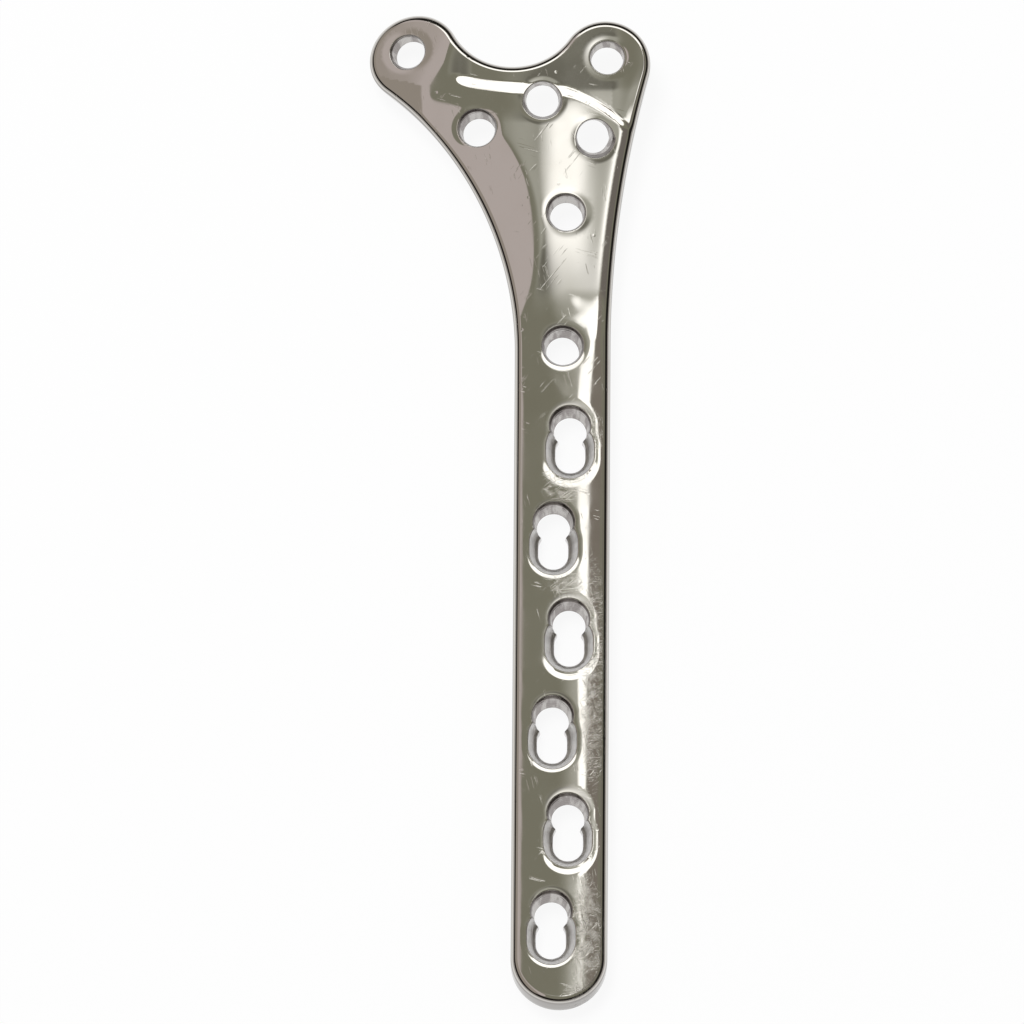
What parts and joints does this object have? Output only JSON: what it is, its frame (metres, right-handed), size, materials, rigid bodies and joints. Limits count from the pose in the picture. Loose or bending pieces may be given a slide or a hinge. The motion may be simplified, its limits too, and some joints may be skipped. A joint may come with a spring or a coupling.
{
  "type": "orthopedic bone plate",
  "caption": "Flat contoured bone plate with a forked head, angled threaded screw holes and a straight shaft of combination holes.",
  "frame": {"origin": "centre of the plate's bounding box in plan, on the plane that the bone side of the shaft rests on", "axes": "+Y along the shaft towards the forked head, +Z out of the outer face, +X to the side of the shorter ear"},
  "size_m": [0.05, 0.184, 0.0096],
  "materials": {
    "polished_steel": "mirror-polished stainless steel, with light scuffs near the shaft's end"
  },
  "bodies": {
    "root": {"bone_plate": "polished_steel"}
  },
  "joints": []
}
